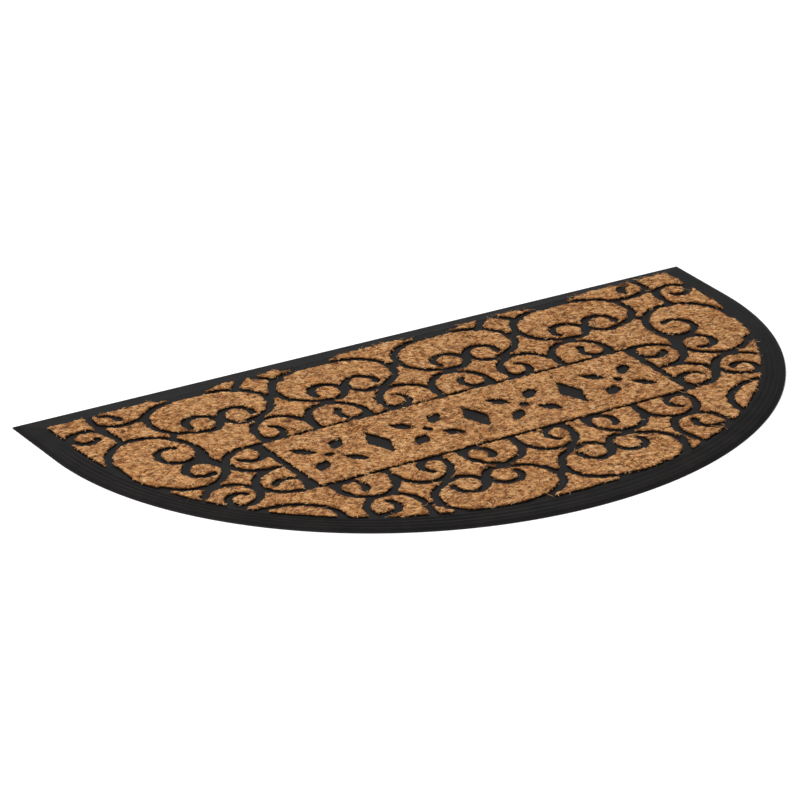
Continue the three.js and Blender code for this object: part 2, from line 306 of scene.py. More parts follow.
# %% Coir colour group
COIR_TONES = [
    (0.00, (0.050, 0.021, 0.008)),
    (0.25, (0.212, 0.083, 0.025)),
    (0.45, (0.392, 0.172, 0.058)),
    (0.62, (0.517, 0.262, 0.096)),
    (0.82, (0.605, 0.341, 0.145)),
    (1.00, (0.660, 0.460, 0.250)),
]
coir_colour, inside, out = new_group("Coir colour", {"Tone": ("Float", 0.5)}, {"Colour": "Color"})
ramp = add(coir_colour, "ValToRGB", {"Fac": inside.outputs["Tone"]})
while len(ramp.color_ramp.elements) < len(COIR_TONES):
    ramp.color_ramp.elements.new(0.5)
for stop, (position, colour) in zip(ramp.color_ramp.elements, COIR_TONES):
    stop.position = position
    stop.color = (*colour, 1.0)
coir_colour.links.new(ramp.outputs["Color"], out.inputs["Colour"])
print("group:", coir_colour.name, "with", len(COIR_TONES), "tones")

# %% [markdown]
# ## The floor
#
# A wide pale floor carries the mat. It fills the view behind the mat from above. From very low down its far
# edge shows as a faint grey line. It is stage, not part of the object.

# %% Pale floor
floor_paint, tree, shader = new_material("floor_paint")
floor_grain = use_group(tree, grain, {"Size": 0.004, "Unevenness": 0.6})
shade = add(tree, "MapRange", {"Value": floor_grain.outputs["Mask"], "To Min": 0.90, "To Max": 0.93})
tree.links.new(shade.outputs[0], shader.inputs["Base Color"])
shader.inputs["Roughness"].default_value = 0.9
shader.inputs["Specular IOR Level"].default_value = 0.1

FLOOR_REACH = 40  # metres from the middle to each side
floor_mesh = bpy.data.meshes.new("floor")
corners = [(x * FLOOR_REACH, y * FLOOR_REACH, 0) for x, y in [(-1, -1), (1, -1), (1, 1), (-1, 1)]]
floor_mesh.from_pydata(corners, [], [(0, 1, 2, 3)])
floor_mesh.materials.append(floor_paint)
floor = bpy.data.objects.new("floor", floor_mesh)
scene.collection.objects.link(floor)
print("floor", 2 * FLOOR_REACH, "m wide")

# %% [markdown]
# ## Helpers for meshes
#
# The shapes have many thousand points, so they are worked out as number tables and handed to Blender in
# one go, which is much quicker than adding one point at a time.

# %% Mesh helpers
def make_piece(name, points, triangles, material):
    """A mesh piece that rides on the mat, from points in millimetres and rows of three point numbers."""
    mesh = bpy.data.meshes.new(name)
    mesh.vertices.add(len(points))
    mesh.vertices.foreach_set("co", (np.asarray(points, float) * MM).ravel())
    mesh.loops.add(len(triangles) * 3)
    mesh.loops.foreach_set("vertex_index", np.asarray(triangles, np.int32).ravel())
    mesh.polygons.add(len(triangles))
    mesh.polygons.foreach_set("loop_start", np.arange(0, len(triangles) * 3, 3, dtype=np.int32))
    mesh.update(calc_edges=True)
    mesh.shade_smooth()
    mesh.materials.append(material)
    piece = bpy.data.objects.new(name, mesh)
    scene.collection.objects.link(piece)
    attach(piece, "root")
    return piece


def soft_noise(points, size, seed):
    """Smooth random numbers from -1 to 1 over the mat, in lumps of the given size."""
    cells = np.ceil(np.array([MAT_WIDTH, MAT_DEPTH]) * 1.2 / size).astype(int) + 2
    lattice = np.random.default_rng(seed).uniform(-1, 1, cells)
    at = np.clip((points[:, :2] + [MAT_WIDTH * 0.6, MAT_DEPTH * 0.6]) / size, 0, cells - 1.001)
    i, j = np.floor(at).astype(int).T
    u, v = (at - np.floor(at)).T
    u, v = u * u * (3 - 2 * u), v * v * (3 - 2 * v)
    near = lattice[i, j] * (1 - u) + lattice[i + 1, j] * u
    far = lattice[i, j + 1] * (1 - u) + lattice[i + 1, j + 1] * u
    return near * (1 - v) + far * v


def ease(value, start, end):
    """0 up to start, 1 from end, and a smooth step between."""
    t = np.clip((value - start) / (end - start), 0, 1)
    return t * t * (3 - 2 * t)


print("mesh helpers ready")

# %% [markdown]
# The tray's field and the tops of the pile are flat shapes with odd outlines. An outline is filled with
# triangles by a constrained triangulation, because a fan from one corner would make long slivers that shade
# badly once the surface is lumpy.

# %% Outline helpers
def points_inside(loops, candidates):
    """Which of the candidate points are inside the outlines, counted by crossings to the right."""
    crossings = np.zeros(len(candidates), dtype=int)
    for loop in loops:
        for (x0, y0), (x1, y1) in zip(loop, np.roll(loop, -1, axis=0)):
            spans = (y0 > candidates[:, 1]) != (y1 > candidates[:, 1])
            if spans.any():
                cross_x = x0 + (candidates[spans, 1] - y0) * (x1 - x0) / (y1 - y0)
                crossings[np.flatnonzero(spans)[candidates[spans, 0] < cross_x]] += 1
    return crossings % 2 == 1


def triangulate(loops, inner_points):
    """Triangles that fill closed outlines. An outline inside another is a hole."""
    points = np.vstack([*loops, inner_points])
    edges = []
    first = 0
    for loop in loops:
        edges += [(first + i, first + (i + 1) % len(loop)) for i in range(len(loop))]
        first += len(loop)
    found = delaunay_2d_cdt([Vector(p) for p in points.tolist()], edges, [], 1, 1e-6)
    flat = np.array([tuple(p) for p in found[0]])
    triangles = np.array(found[2])
    if len(loops) > 1:
        triangles = triangles[points_inside(loops, flat[triangles].mean(axis=1))]
    a, b, c = (flat[triangles[:, k]] for k in range(3))
    clockwise = np.cross(b - a, c - a) < 0
    triangles[clockwise] = triangles[clockwise][:, ::-1]
    return flat, triangles


def rim_of(triangles):
    """The edges that only one triangle has, each in the direction that its triangle runs."""
    edges = np.vstack([triangles[:, [0, 1]], triangles[:, [1, 2]], triangles[:, [2, 0]]])
    known = set(map(tuple, edges.tolist()))
    return np.array([edge for edge in edges.tolist() if (edge[1], edge[0]) not in known])


print("outline helpers ready")

# %% [markdown]
# ## Where the pile stands
#
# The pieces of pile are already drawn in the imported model, so their outlines are read from there. Around
# the flat top of each node runs a ring of edges that belong to one face only, and following those edges
# from point to point gives the outline.

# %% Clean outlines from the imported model
def top_outlines(node):
    """The closed outlines round the flat top of a CAD node, in millimetres, with the pile on the left."""
    mesh = node.data
    places = np.zeros(len(mesh.vertices) * 3)
    mesh.vertices.foreach_get("co", places)
    places = np.round(places.reshape(-1, 3) / MM, 3)
    merged, number = np.unique(places, axis=0, return_inverse=True)
    corners = np.zeros(len(mesh.loops), dtype=int)
    mesh.loops.foreach_get("vertex_index", corners)
    faces = number.ravel()[corners].reshape(-1, 3)
    top = faces[(merged[faces][:, :, 2] > PILE_TOP - 0.01).all(axis=1)]
    after = {}
    for start, end in rim_of(top):
        after.setdefault(start, []).append(end)
    outlines = []
    while after:
        start = next(iter(after))
        loop = [start]
        while True:
            following = after[loop[-1]].pop()
            if not after[loop[-1]]:
                del after[loop[-1]]
            if following == start:
                break
            loop.append(following)
        outlines.append(merged[loop][:, :2])
    return outlines


clean_outlines = {name: top_outlines(node) for name, node in pile_nodes.items()}
print(sum(len(loops) for loops in clean_outlines.values()), "outlines")

# %% [markdown]
# A cut edge in needled coir is soft and ragged. The outline is divided evenly, its corners are rounded
# a little, and a fine and a wide noise push it in and out.

# %% Ragged outlines
OUTLINE_STEP = 1.2
CORNER_PASSES = 2
RAGGED_FINE, RAGGED_WIDE = 0.75, 0.55  # how far the two noises push the edge
FINE_SIZE, WIDE_SIZE = 1.8, 7  # how long their waves are
RAGGED_SEED = 11


def loop_normals(loop):
    """Directions that point away from the pile, one for each point of an outline."""
    along = np.roll(loop, -1, axis=0) - np.roll(loop, 1, axis=0)
    along /= np.maximum(np.linalg.norm(along, axis=1, keepdims=True), 1e-9)
    return np.column_stack([along[:, 1], -along[:, 0]])


def ragged(outline):
    """An outline as needled coir has it: evenly divided, with soft corners and an uneven edge."""
    closed = np.vstack([outline, outline[:1]])
    along = np.concatenate([[0], np.cumsum(np.linalg.norm(np.diff(closed, axis=0), axis=1))])
    count = max(10, round(along[-1] / OUTLINE_STEP))
    at = np.arange(count) * along[-1] / count
    loop = np.column_stack([np.interp(at, along, closed[:, k]) for k in range(2)])
    for _ in range(CORNER_PASSES):
        loop = 0.5 * loop + 0.25 * (np.roll(loop, 1, axis=0) + np.roll(loop, -1, axis=0))
    push = RAGGED_FINE * soft_noise(loop, FINE_SIZE, RAGGED_SEED)
    push += RAGGED_WIDE * soft_noise(loop, WIDE_SIZE, RAGGED_SEED + 1)
    return loop + loop_normals(loop) * push[:, None]


outlines = {name: [ragged(outline) for outline in loops] for name, loops in clean_outlines.items()}
print(len(outlines), "pieces,", sum(len(o) for loops in outlines.values() for o in loops), "outline points")

# %% [markdown]
# Later steps ask how far a place is from the nearest edge of the pile: the rubber rises a little between the
# pieces, and fibres droop where they pass the edge. A tree of outline points answers that quickly. The sign
# comes from the outline's direction, above zero on the rubber and below zero in the pile.

# %% Distance to the edge of the pile
rim_points = np.vstack([o for loops in outlines.values() for o in loops])
rim_normals = np.vstack([loop_normals(o) for loops in outlines.values() for o in loops])
rim_tree = kdtree.KDTree(len(rim_points))
for i, (x, y) in enumerate(rim_points):
    rim_tree.insert((x, y, 0), i)
rim_tree.balance()


def past_edge(points):
    """How far each point is outside the nearest pile, in millimetres; below zero is inside it."""
    nearest = np.array([rim_tree.find((x, y, 0))[1] for x, y in points[:, :2].tolist()])
    offset = points[:, :2] - rim_points[nearest]
    side = np.sign((offset * rim_normals[nearest]).sum(axis=1))
    return side * np.linalg.norm(offset, axis=1)


print("rim points", len(rim_points))

# %% [markdown]
# ## Rubber
#
# The tray is nearly black rubber with a satin skin. It needs very little gloss, because a pale room would
# turn a shiny black mat grey. Grain breaks up the highlight, and dust greys the flat parts a little. Slopes
# such as the bevel are painted greyer: this is painted light, for the brighter look a slope has under the
# lamps.

# %% Rubber material
rubber, tree, shader = new_material("moulded_rubber")
rubber_grain = use_group(tree, grain, {"Size": 0.0009, "Unevenness": 0.8})
tint = spread(tree, rubber_grain.outputs["Mask"])
DEEP_BLACK, WORN_BLACK = (0.0030, 0.0026, 0.0026, 1.0), (0.0062, 0.0054, 0.0053, 1.0)
SLOPE_LIGHT_GREY = (0.0135, 0.0125, 0.0122, 1.0)
RUBBER_DUST = (0.16, 0.125, 0.09, 1.0)
black = add(tree, "MixRGB", {"Fac": tint, "Color1": DEEP_BLACK, "Color2": WORN_BLACK})
facing = add(tree, "NewGeometry").outputs["Normal"]
upright = add(tree, "SeparateXYZ", {"Vector": facing}).outputs["Z"]
# Painted light: surfaces that slope, such as the bevel and the sides of the ribs, are made greyer, as if they
# caught more light.
sloping = add(
    tree, "MapRange", {"Value": upright, "From Min": 0.7, "From Max": 0.99, "To Min": 1.0, "To Max": 0.0}
)
with_slope_light = add(
    tree, "MixRGB", {"Fac": sloping.outputs[0], "Color1": black.outputs[0], "Color2": SLOPE_LIGHT_GREY}
)
rubber_dust = use_group(
    tree,
    dust,
    {"Colour": with_slope_light.outputs[0], "Dust Colour": RUBBER_DUST, "Amount": 0.03, "Patch Size": 0.03},
)
dull = add(tree, "MapRange", {"Value": rubber_dust.outputs["Mask"], "To Min": 0.5, "To Max": 0.95})
skin = add(tree, "Bump", {"Height": rubber_grain.outputs["Height"], "Strength": 0.35, "Distance": 0.0002})
tree.links.new(rubber_dust.outputs["Colour"], shader.inputs["Base Color"])
tree.links.new(dull.outputs[0], shader.inputs["Roughness"])
tree.links.new(skin.outputs[0], shader.inputs["Normal"])
shader.inputs["Specular IOR Level"].default_value = 0.025
print("material:", rubber.name)

# %% [markdown]
# ## The rubber tray
#
# The tray is made like a moulding: the outline of the mat is repeated at several insets and heights, and
# neighbouring rings are joined by strips of triangles. From the outside in, the rings make the edge, the
# bevel that a foot slides over, the border with its fine ribs, and the lip down to the field. The ribs run
# only round the curved front, fade out near the straight sides, and are worn lower towards the right. The
# field was pressed in a little turned and bulges between front and sides, so the inner rings turn with it.

# %% Outline of a ring
FRONT_POINTS, BACK_POINTS, SIDE_POINTS = 400, 140, 24


def half_round(back, side, front, share=0):
    """Points round the mat at the given insets, anticlockwise from the right end of the back edge.

    The share says how much of the field's swell and turn they have: 0 at the rim, 1 at the field.
    """
    half = MAT_WIDTH / 2 - side
    back_y = MAT_DEPTH / 2 - back
    turn_y = MAT_DEPTH / 2 - STRAIGHT_SIDE
    drop = MAT_DEPTH - STRAIGHT_SIDE - front
    angles = np.linspace(math.pi, 2 * math.pi, FRONT_POINTS, endpoint=False)
    out = FIELD_SWELL * share * np.sin(2 * angles) ** 2
    back_x = np.linspace(half, -half, BACK_POINTS, endpoint=False)
    side_y = np.linspace(back_y, turn_y, SIDE_POINTS, endpoint=False)
    other_side_y = np.linspace(turn_y, back_y, SIDE_POINTS, endpoint=False)
    ring = np.vstack([
        np.column_stack([back_x, np.full(len(back_x), back_y)]),
        np.column_stack([np.full(len(side_y), -half), side_y]),
        np.column_stack([(half + out) * np.cos(angles), turn_y + (drop + out) * np.sin(angles)]),
        np.column_stack([np.full(len(side_y), half), other_side_y]),
    ])
    turn = FIELD_TURN * share
    return ring @ np.array([[math.cos(turn), math.sin(turn)], [-math.sin(turn), math.cos(turn)]])


print("a ring has", FRONT_POINTS + BACK_POINTS + 2 * SIDE_POINTS, "points")

# %% [markdown]
# The rings are stacked from the floor up and inwards. The first ones round off the edge and make the bevel,
# then three ribs follow with a smooth wave, and the last ones roll over the lip.

# %% Rings of the border
EDGE_HEIGHT, BEVEL_HEIGHT, BORDER_HEIGHT = 1.4, 3.2, 5.4
BEVEL_WIDTH, LIP_WIDTH = 5, 1.5
BEVEL_ROUND = 0.8  # the soft corner between the bevel and the border
RIBS, RIB_ROWS, RIB_HEIGHT = 3, 8, 0.5
RIB_WORN, WORN_BY = (-200, 60), 0.7  # from the first x to the second the ribs lose this share
RIB_FADE = (80, 150)  # the ribs are whole up to the first y and gone from the second


def border_ring(share, height):
    """A ring that lies the given share of the way across the ribbed border."""
    start = BEVEL_WIDTH + BEVEL_ROUND
    insets = [start + (border - LIP_WIDTH - start) * share for border in BORDERS]
    ring = half_round(*insets, share)
    on_curve = (1 - ease(ring[:, 1], *RIB_FADE)) * (1 - WORN_BY * ease(ring[:, 0], *RIB_WORN))
    rib = RIB_HEIGHT * 0.5 * (1 - math.cos(2 * math.pi * RIBS * share))
    return np.column_stack([ring, height + rib * on_curve])


def plain_ring(insets, height, share=0):
    """A ring at one height."""
    ring = half_round(*insets, share)
    return np.column_stack([ring, np.full(len(ring), height)])


rings = [plain_ring([inset] * 3, height) for inset, height in [
    (0.15, 0), (0, 0.2), (0, EDGE_HEIGHT - 0.3), (0.12, EDGE_HEIGHT - 0.05), (0.45, EDGE_HEIGHT + 0.15),
    (BEVEL_WIDTH * 0.5, 0.5 * (EDGE_HEIGHT + BEVEL_HEIGHT) + 0.1), (BEVEL_WIDTH - 0.7, BEVEL_HEIGHT - 0.12),
    (BEVEL_WIDTH, BEVEL_HEIGHT - 0.02),
]]
for row in range(RIBS * RIB_ROWS + 1):
    share = row / (RIBS * RIB_ROWS)
    rings.append(border_ring(share, BEVEL_HEIGHT + (BORDER_HEIGHT - BEVEL_HEIGHT) * share))
for share, height in [(0.4, BORDER_HEIGHT - 0.02), (0.75, BORDER_HEIGHT - 0.1), (1, FLOOR_HEIGHT)]:
    insets = [border - LIP_WIDTH * (1 - share) for border in BORDERS]
    rings.append(plain_ring(insets, height, 1))
print(len(rings), "rings of", len(rings[0]), "points")

# %% [markdown]
# The field and the tops of the pile are filled with an even net of points. The net is shaken a little, so
# that no rows show where the light grazes it, and it keeps clear of the outline.

# %% Net of points
def net_points(loops, step, seed, clear):
    """An even net of points inside the outlines, with the given step between them and gap to the rim."""
    rim = np.vstack(loops)
    low, high = rim.min(axis=0), rim.max(axis=0)
    across, up = np.meshgrid(np.arange(low[0], high[0], step), np.arange(low[1], high[1], step * 0.87))
    across[::2] += step / 2
    net = np.column_stack([across.ravel(), up.ravel()])
    net += np.random.default_rng(seed).uniform(-0.25, 0.25, net.shape) * step
    net = net[points_inside(loops, net)]
    tree = kdtree.KDTree(len(rim))
    for i, (x, y) in enumerate(rim.tolist()):
        tree.insert((x, y, 0), i)
    tree.balance()
    gaps = np.array([tree.find((x, y, 0))[2] for x, y in net.tolist()]) if len(net) else np.zeros(0)
    return net[gaps > clear]


print("net ready")

# %% [markdown]
# Inside the lip lies the field. Its rubber isn't flat: between the pieces of pile it stands up as low
# rounded lines, because the pile is pressed in beside them. So each point of the net rises with its
# distance from the pile, and sinks a little under it.

# %% The tray's field
FIELD_STEP = 2.2
LINE_CROWN = 0.15  # how far the rubber rises in the middle of a line
UNDER_PILE = 0.15  # how far it sinks under the pile

field_rim = rings[-1][:, :2]
field_points, field_triangles = triangulate([field_rim], net_points([field_rim], FIELD_STEP, 3, 0.9))
from_pile = past_edge(field_points)
crown = LINE_CROWN * ease(from_pile, 0, 3) * (1 + 0.4 * soft_noise(field_points, 9, 5))
field_heights = FLOOR_HEIGHT + crown - UNDER_PILE * ease(-from_pile, 0, 2)
field_heights[: len(field_rim)] = FLOOR_HEIGHT
print("field points", len(field_points))

# %% [markdown]
# The rings, the field and the flat underside are joined into one closed body. Neighbouring rings are
# joined by strips of triangles. The field shares the points of the last ring and the underside those of
# the first, so there is no seam.

# %% The tray in one piece
SHARP_ANGLE = math.radians(35)

count = len(rings[0])
ring_start = np.arange(len(rings) - 1)[:, None] * count
here = ring_start + np.arange(count)
after = ring_start + np.roll(np.arange(count), -1)
strips = np.vstack([
    np.column_stack([here.ravel(), after.ravel(), after.ravel() + count]),
    np.column_stack([here.ravel(), after.ravel() + count, here.ravel() + count]),
])
underside, underside_triangles = triangulate([rings[0][:, :2]], np.zeros((0, 2)))
last_ring = (len(rings) - 1) * count
field_number = np.concatenate([
    last_ring + np.arange(count),
    len(rings) * count + np.arange(len(field_points) - count),
])
tray_points = np.vstack([*rings, np.column_stack([field_points, field_heights])[count:]])
tray_triangles = np.vstack([strips, underside_triangles[:, ::-1], field_number[field_triangles]])
tray = make_piece("moulded_tray", tray_points, tray_triangles, rubber)
tray.data.set_sharp_from_angle(angle=SHARP_ANGLE)
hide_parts("rubber_tray")
print("tray triangles", len(tray_triangles), "field points kept in order:", len(underside) == count)

# %% [markdown]
# ## Pile
#
# Seen from above, coir is thousands of crossing fibres with dark gaps between them. The pile is given the
# colour of the deeper layer with painted shade in it: mostly dark brown, for the shadow down between the
# fibres, with strands of straw. The fibres that are added later lie on top and are lighter.

# %% Pile material
LAY = math.radians(28)  # most fibres were combed this way by the needles
pile_material, tree, shader = new_material("needled_coir")
pile_strands = use_group(
    tree, strands, {"Strand Width": 0.0011, "Strand Length": 0.0065, "Lay": LAY, "Swirl": 0.005}
)
# The strand tone is pulled darker as painted shade, for the shadow in the deeper layer between the fibres.
strand_tone_with_painted_shade = spread(tree, pile_strands.outputs["Strand"], -0.18, 0.55)
clump_tone = spread(tree, pile_strands.outputs["Clump"], -0.12, 0.12)
pile_colour = use_group(tree, coir_colour, {"Tone": sum_of(tree, strand_tone_with_painted_shade, clump_tone)})
COIR_DUST = (0.42, 0.30, 0.19, 1.0)
pile_dust = use_group(
    tree,
    dust,
    {"Colour": pile_colour.outputs[0], "Dust Colour": COIR_DUST, "Amount": 0.25, "Patch Size": 0.04},
)
pile_bump = add(tree, "Bump", {"Height": pile_strands.outputs["Strand"], "Strength": 0.9, "Distance": 0.0008})
tree.links.new(pile_dust.outputs["Colour"], shader.inputs["Base Color"])
tree.links.new(pile_bump.outputs[0], shader.inputs["Normal"])
shader.inputs["Roughness"].default_value = 0.95
shader.inputs["Specular IOR Level"].default_value = 0.1
print("material:", pile_material.name)

# %% [markdown]
# Each piece of pile is a closed solid with three parts: a lumpy top that rolls down at its edge, a wall
# that leans in under it, and a flat seat on the rubber. The top is a net of points inside the ragged
# outline. Extruding the outline would give a dead flat top with hard edges.

# %% Height of the pile's top
SHOULDER_DROP, SHOULDER_WIDTH = 0.25, 0.9
LUMPS = [(14, 0.16), (5, 0.3), (2.2, 0.3)]  # size across and height of the lumps, in millimetres


def pile_surface(points, depth):
    """Height of the pile's top, where depth is how far inside its edge each point is."""
    lumps = sum(tall * soft_noise(points, wide, 20 + k) for k, (wide, tall) in enumerate(LUMPS))
    return PILE_TOP - SHOULDER_DROP * (1 - ease(depth, -0.3, SHOULDER_WIDTH)) + lumps


print("pile stands", round(PILE_TOP - FLOOR_HEIGHT, 2), "mm over the rubber")

# %% [markdown]
# The wall hangs from the rim of the top as two bands of triangles, and the seat closes the lowest ring. The
# seat is filled from the same outline, so it is matched to the ring's points by place.

# %% One closed piece of pile
TOP_STEP, TOP_CLEAR = 2.0, 0.7  # the step of the net, and how far it keeps from the outline
SEAT_HEIGHT = FLOOR_HEIGHT + 0.02
WALL_ROWS = [(6.3, -0.3), (SEAT_HEIGHT, -0.8)]  # height of a row of points, and how far out it stands


def pile_solid(loops, seed):
    """Points and triangles of one closed piece of pile."""
    flat, top = triangulate(loops, net_points(loops, TOP_STEP, seed, TOP_CLEAR))
    rim = rim_of(top)
    rim_numbers = np.unique(rim)
    depth = -past_edge(flat)
    depth[rim_numbers] = 0
    heights = pile_surface(flat, np.maximum(depth, 0))
    across = np.zeros_like(flat)
    run = flat[rim[:, 1]] - flat[rim[:, 0]]
    normal = np.column_stack([run[:, 1], -run[:, 0]])
    for end in range(2):
        np.add.at(across, rim[:, end], normal)
    across /= np.maximum(np.linalg.norm(across, axis=1, keepdims=True), 1e-9)
    order = {number: k for k, number in enumerate(rim_numbers.tolist())}
    ring = np.array([[order[a], order[b]] for a, b in rim.tolist()])
    rows = [np.column_stack([flat, heights])]
    for height, out_by in WALL_ROWS:
        row = flat[rim_numbers] + across[rim_numbers] * out_by
        rows.append(np.column_stack([row, np.full(len(row), height)]))
    second = len(flat) + len(rim_numbers)
    middle_row = len(flat) + np.arange(len(rim_numbers))
    lowest_row = second + np.arange(len(rim_numbers))
    a, b = ring.T
    bands = []
    for upper, lower in [(rim_numbers, middle_row), (middle_row, lowest_row)]:
        bands.append(np.column_stack([upper[a], lower[a], lower[b]]))
        bands.append(np.column_stack([upper[a], lower[b], upper[b]]))
    return np.vstack(rows), np.vstack([top, *bands]), rim_numbers, second


def seat_triangles(loops, rim_flat, first):
    """The flat seat under a piece of pile, on the points of its lowest ring."""
    flat, seat = triangulate(loops, np.zeros((0, 2)))
    tree = kdtree.KDTree(len(rim_flat))
    for i, (x, y) in enumerate(rim_flat.tolist()):
        tree.insert((x, y, 0), i)
    tree.balance()
    number = np.array([tree.find((x, y, 0))[1] for x, y in flat.tolist()])
    return first + number[seat][:, ::-1]


print("pile helpers ready")

# %% [markdown]
# Now every piece is made from its own outline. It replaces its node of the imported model. The triangles of
# the tops are kept, because the fibres are scattered over them.

# %% Pieces of pile
PILE_SEED = 100
pile_tops = []
for place, (name, loops) in enumerate(outlines.items()):
    points, triangles, rim_numbers, lowest = pile_solid(loops, PILE_SEED + place)
    seat = seat_triangles(loops, points[rim_numbers, :2], lowest)
    faces = np.vstack([triangles, seat])
    piece = make_piece(name.replace("coir", "pile"), points, faces, pile_material)
    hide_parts(name)
    on_top = triangles.max(axis=1) < lowest - len(rim_numbers)
    pile_tops.append(points[triangles[on_top]][:, :, :2])
pile_tops = np.vstack(pile_tops)

# %% [markdown]
# ## Fibres on the pile
#
# Real coir is a tangle, and its edge against the rubber is fringed. Hair particles could make it, but hair
# doesn't become mesh with a part, so each fibre here is a thin closed tube of three sides with pointed ends.
# The fibres come in clumps of four that share a direction and nearly a colour, as needled fibre does.

# %% Fibre material
fibre_material, tree, shader = new_material("coir_fibre")
own_tone = add(tree, "Attribute", attribute_name="tone", attribute_type="GEOMETRY")
fibre_strands = use_group(
    tree, strands, {"Strand Width": 0.0009, "Strand Length": 0.004, "Lay": LAY, "Swirl": 0.004}
)
mottle = spread(tree, fibre_strands.outputs["Clump"], -0.1, 0.1)
fibre_colour = use_group(tree, coir_colour, {"Tone": sum_of(tree, own_tone.outputs["Fac"], mottle)})
gloss = add(tree, "MapRange", {"Value": fibre_strands.outputs["Strand"], "To Min": 0.55, "To Max": 0.95})
tree.links.new(fibre_colour.outputs[0], shader.inputs["Base Color"])
tree.links.new(gloss.outputs[0], shader.inputs["Roughness"])
shader.inputs["Specular IOR Level"].default_value = 0.2
print("material:", fibre_material.name)

# %% [markdown]
# A fibre is given as a row of centre points. Three corners are set round each of the inner points, and the
# first and the last point stay single, which makes the pointed ends. Every fibre of a piece has the same
# pattern of triangles, so one pattern is repeated. The tone of a fibre is kept on its points.

# %% Fibre tubes
def fibre_tubes(lines, radius):
    """Closed three-sided tubes with pointed ends along rows of centre points."""
    count, steps, _ = lines.shape
    along = np.gradient(lines, axis=1)
    side = np.cross(along, [0, 0, 1.0])
    side /= np.maximum(np.linalg.norm(side, axis=2, keepdims=True), 1e-9)
    up = np.cross(side, along)
    up /= np.maximum(np.linalg.norm(up, axis=2, keepdims=True), 1e-9)
    body = slice(1, steps - 1)
    thick = radius[:, None, None]
    corners = [
        lines[:, body] + thick * (math.cos(turn) * side[:, body] + math.sin(turn) * up[:, body])
        for turn in np.radians([90, 210, 330])
    ]
    rings = np.stack(corners, axis=2).reshape(count, -1, 3)
    points = np.concatenate([lines[:, :1], rings, lines[:, -1:]], axis=1)
    last = points.shape[1] - 1
    pattern = []
    for k in range(3):
        beside = (k + 1) % 3
        pattern.append((0, 1 + k, 1 + beside))
        for r in range(steps - 3):
            a, b = 1 + 3 * r + k, 1 + 3 * r + beside
            pattern += [(a, a + 3, b + 3), (a, b + 3, b)]
        pattern.append((last, last - 3 + beside, last - 3 + k))
    start = np.arange(count)[:, None, None] * points.shape[1]
    return points.reshape(-1, 3), (start + np.array(pattern)).reshape(-1, 3), points.shape[1]


def fibre_piece(name, lines, radius, tones):
    points, triangles, each = fibre_tubes(lines, radius)
    piece = make_piece(name, points, triangles, fibre_material)
    tone = piece.data.attributes.new("tone", "FLOAT", "POINT")
    tone.data.foreach_set("value", np.repeat(tones, each).astype(np.float32))
    print(name, len(lines), "fibres,", len(triangles), "triangles")
    return piece


print("fibre helpers ready")

# %% [markdown]
# The clumps are scattered evenly over the tops. Most run roughly along the lay of the pile. Most clumps are
# straw coloured and a few are much darker: partly dark brown fibres, and partly painted shade for the small
# shaded pits between pale tufts.

# %% Clumps of fibres
CLUMPS = 13300
IN_CLUMP = 4
CLUMP_WIDTH = 0.8  # how far the fibres of a clump lie from its middle
CLUMP_TURN, FIBRE_TURN = np.radians(56), np.radians(11)
STRAW_TONE, TONE_SPREAD = 0.81, 0.06
DARK_SHAPE, DARK_SCALE = 0.5, 0.26  # few clumps are dark, but those are much darker
PATCH_TONE, PATCH_SIZE = 0.04, 18
rng = np.random.default_rng(2024)

a, b, c = pile_tops[:, 0], pile_tops[:, 1], pile_tops[:, 2]
areas = np.abs(np.cross(b - a, c - a)) / 2
chosen = rng.choice(len(areas), CLUMPS, p=areas / areas.sum())
u, v = rng.random(CLUMPS), rng.random(CLUMPS)
u, v = np.where(u + v > 1, 1 - u, u), np.where(u + v > 1, 1 - v, v)
middles = a[chosen] + (b - a)[chosen] * u[:, None] + (c - a)[chosen] * v[:, None]
headings = LAY + CLUMP_TURN * rng.standard_normal(CLUMPS)
clump_tones = STRAW_TONE + TONE_SPREAD * rng.standard_normal(CLUMPS)
# The darkened clumps are partly dark fibres and partly painted shade for the pits between tufts.
clump_tones = clump_tones - rng.gamma(DARK_SHAPE, DARK_SCALE, CLUMPS)
clump_tones += PATCH_TONE * soft_noise(middles, PATCH_SIZE, 41)

fibre_count = CLUMPS * IN_CLUMP
middles = np.repeat(middles, IN_CLUMP, axis=0) + rng.normal(0, CLUMP_WIDTH, (fibre_count, 2))
headings = np.repeat(headings, IN_CLUMP) + FIBRE_TURN * rng.standard_normal(fibre_count)
tones = np.repeat(clump_tones, IN_CLUMP) + TONE_SPREAD * rng.standard_normal(fibre_count)
print(CLUMPS, "clumps of", IN_CLUMP, "fibres")

# %% [markdown]
# Each fibre follows the pile's surface, bends a little and arches over it. Where it passes the edge it
# droops, and its overhang is shortened, so that the black lines stay clean. No fibre sinks into the rubber.

# %% Shape of each fibre
HALF_LENGTH, HALF_SPREAD = 3.2, 0.9
SHORTEST, LONGEST = 1.4, 5.5  # limits of half a fibre's length
BEND, ARCH = 0.9, 0.13
SINK = 0.12  # how deep a fibre's ends lie in the pile
DROOP = 0.9  # how far a fibre hangs down for each millimetre past the edge
CLEARANCE = 0.3  # how far fibres stay above the rubber
THINNEST, THICKEST = 0.13, 0.25  # radius of a fibre, coarse enough to show in a wide view
halves = np.clip(rng.normal(HALF_LENGTH, HALF_SPREAD, fibre_count), SHORTEST, LONGEST)
bends = rng.normal(0, BEND, fibre_count)
rises = rng.gamma(2.0, ARCH, fibre_count)
inside_by = np.maximum(-past_edge(middles), 0.2)
limits = rng.gamma(1.2, 0.3, fibre_count)
t = np.linspace(-1, 1, 4)
ahead = np.column_stack([np.cos(headings), np.sin(headings)])
sideways = np.column_stack([-ahead[:, 1], ahead[:, 0]])
